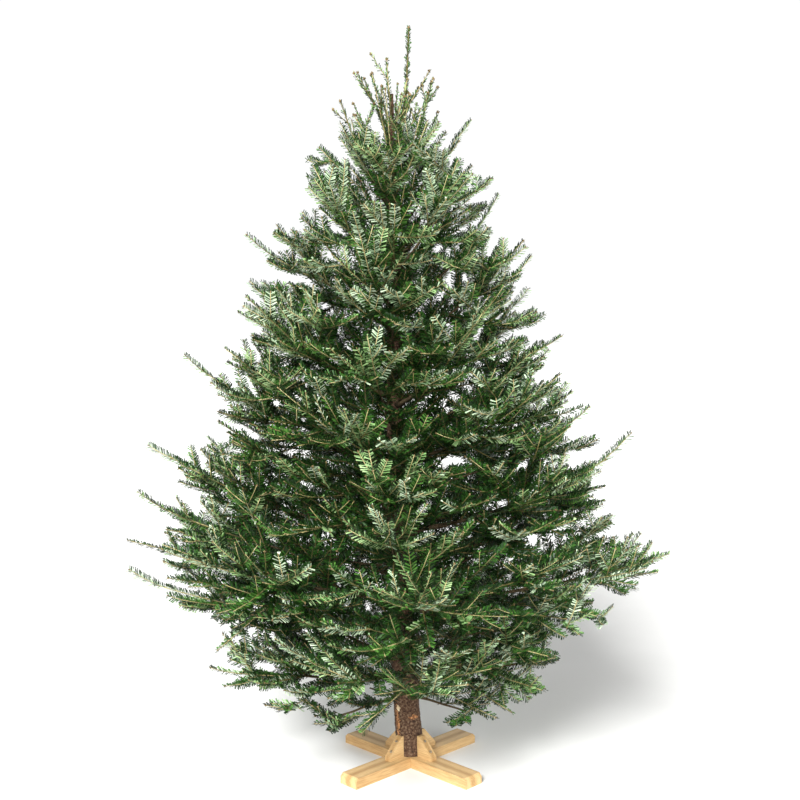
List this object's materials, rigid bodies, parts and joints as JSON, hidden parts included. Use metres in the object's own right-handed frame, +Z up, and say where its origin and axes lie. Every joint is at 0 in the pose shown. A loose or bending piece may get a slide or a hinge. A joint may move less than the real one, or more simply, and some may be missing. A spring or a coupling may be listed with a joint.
{
  "type": "christmas tree",
  "caption": "Cut fir Christmas tree: a leaning trunk with tiers of rising boughs, full needled foliage and a pruned top, standing free on a plain crossed-board stand.",
  "frame": {"origin": "middle of the stand's flat underside, on the floor, below the middle of the trunk's flat cut", "axes": "+Z up the tree; -X towards the fuller side, to which the trunk leans; -Y towards the front"},
  "size_m": [1.573, 1.5618, 2.1303],
  "materials": {
    "bark": "rough scaly dark grey-brown bark",
    "bough_bark": "smooth grey-brown bark of young boughs",
    "needles": "dark green needles with pale silvery undersides, on tan twigs",
    "timber": "planed bare softwood"
  },
  "bodies": {
    "root": {"trunk": "bark", "stand_board_lower": "timber", "stand_board_upper": "timber", "stand_brace_1": "timber", "stand_brace_2": "timber", "stand_brace_3": "timber", "stand_brace_4": "timber", "bough_tier_1_1": "bough_bark", "foliage_tier_1_1": "needles", "bough_tier_1_2": "bough_bark", "foliage_tier_1_2": "needles", "bough_tier_1_3": "bough_bark", "foliage_tier_1_3": "needles", "bough_tier_1_4": "bough_bark", "foliage_tier_1_4": "needles", "bough_tier_1_5": "bough_bark", "foliage_tier_1_5": "needles", "bough_tier_2_1": "bough_bark", "foliage_tier_2_1": "needles", "bough_tier_2_2": "bough_bark", "foliage_tier_2_2": "needles", "bough_tier_2_3": "bough_bark", "foliage_tier_2_3": "needles", "bough_tier_2_4": "bough_bark", "foliage_tier_2_4": "needles", "bough_tier_2_5": "bough_bark", "foliage_tier_2_5": "needles", "bough_tier_2_6": "bough_bark", "foliage_tier_2_6": "needles", "bough_tier_3_1": "bough_bark", "foliage_tier_3_1": "needles", "bough_tier_3_2": "bough_bark", "foliage_tier_3_2": "needles", "bough_tier_3_3": "bough_bark", "foliage_tier_3_3": "needles", "bough_tier_3_4": "bough_bark", "foliage_tier_3_4": "needles", "bough_tier_3_5": "bough_bark", "foliage_tier_3_5": "needles", "foliage_tier_4_1": "needles", "foliage_tier_4_2": "needles", "foliage_tier_4_3": "needles", "foliage_tier_4_4": "needles", "foliage_tier_4_5": "needles", "foliage_tier_5_1": "needles", "foliage_tier_5_2": "needles", "foliage_tier_5_3": "needles", "foliage_tier_5_4": "needles", "foliage_tier_6_1": "needles", "foliage_tier_6_2": "needles", "foliage_tier_6_3": "needles", "foliage_tier_6_4": "needles", "foliage_tier_7_1": "needles", "foliage_tier_7_2": "needles", "foliage_tier_7_3": "needles", "foliage_tier_7_4": "needles", "foliage_tier_8_1": "needles", "foliage_tier_8_2": "needles", "foliage_tier_8_3": "needles", "foliage_leader": "needles"}
  },
  "joints": []
}
